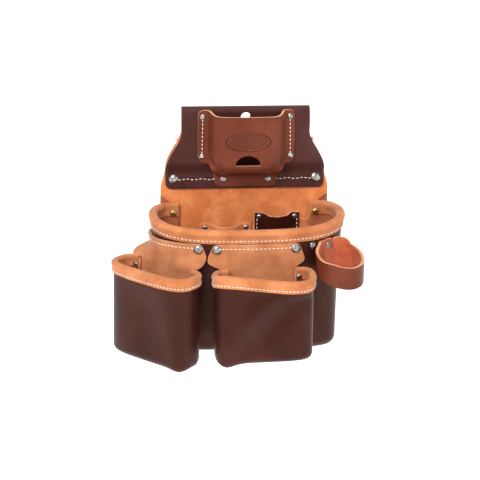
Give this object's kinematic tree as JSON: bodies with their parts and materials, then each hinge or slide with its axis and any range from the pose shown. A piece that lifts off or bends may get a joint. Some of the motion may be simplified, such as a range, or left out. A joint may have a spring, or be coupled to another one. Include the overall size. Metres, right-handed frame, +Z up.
{
  "type": "leather tool pouch bag",
  "caption": "Leather tool bag for a work belt, with a deep main bag, two hanging fastener pouches, a tape holster, inner pockets and a hammer loop.",
  "frame": {"origin": "on the flat rear face of the belt panel, on its middle line, 50 mm below the fold line, at the middle of the belt tunnel", "axes": "+Z up as the bag hangs, +Y out of the rear face towards the wearer, +X to the right seen from the front"},
  "size_m": [0.3031, 0.1511, 0.2949],
  "materials": {
    "dark_leather": "smooth oiled dark brown, slightly glossy",
    "russet_leather": "smooth red-brown, slightly glossy",
    "tan_suede": "napped tan suede",
    "nickel": "nickel-plated rivets",
    "brass": "dull brass"
  },
  "bodies": {
    "main_bag": {"back_lining": "tan_suede", "belt_panel": "dark_leather", "hammer_tab_left": "russet_leather", "hammer_tab_right": "russet_leather", "inner_pocket_dark": "dark_leather", "inner_pocket_small": "tan_suede", "inner_pocket_tan": "tan_suede", "left_yoke_strip": "tan_suede", "main_binding": "tan_suede", "main_shell": "dark_leather", "right_yoke_strip": "tan_suede", "rivet_bag_side": "nickel", "rivet_belt_left": "nickel", "rivet_belt_right": "nickel", "rivet_dark_pocket_left": "nickel", "rivet_dark_pocket_right": "nickel", "rivet_hammer_left": "nickel", "rivet_hammer_right": "nickel", "rivet_holster_low_left": "nickel", "rivet_holster_low_right": "nickel", "rivet_holster_tab_left": "nickel", "rivet_holster_tab_right": "nickel", "rivet_holster_top_left": "nickel", "rivet_holster_top_right": "nickel", "rivet_left_yoke_left": "nickel", "rivet_left_yoke_right": "nickel", "rivet_main_rim_left": "brass", "rivet_main_rim_right": "brass", "rivet_right_yoke_left": "nickel", "rivet_right_yoke_right": "nickel", "rivet_tan_pocket_left": "nickel", "rivet_tan_pocket_right": "nickel", "tape_holster": "russet_leather"},
    "left_pouch": {"left_back_panel": "tan_suede", "left_binding": "tan_suede", "left_shell": "dark_leather", "rivet_left_rim_left": "nickel", "rivet_left_rim_right": "nickel"},
    "right_pouch": {"right_back_panel": "tan_suede", "right_binding": "tan_suede", "right_shell": "dark_leather", "rivet_right_rim_left": "nickel", "rivet_right_rim_right": "nickel"},
    "hammer_loop_strap": {"hammer_loop": "russet_leather"}
  },
  "joints": [
    {"name": "left_pouch_swing", "type": "hinge", "parent": "main_bag", "child": "left_pouch", "pos_m": [-0.10597, -0.07574, -0.109], "axis": [-0.7314, 0.682, 0], "range_deg": [0, 15]},
    {"name": "right_pouch_swing", "type": "hinge", "parent": "main_bag", "child": "right_pouch", "pos_m": [0.00685, -0.10084, -0.109], "axis": [-0.9986, -0.0523, 0], "range_deg": [0, 20]},
    {"name": "hammer_loop_lift", "type": "hinge", "parent": "main_bag", "child": "hammer_loop_strap", "pos_m": [0.10375, -0.07876, -0.1095], "axis": [-0.7882, -0.6155, 0], "range_deg": [0, 20]}
  ]
}
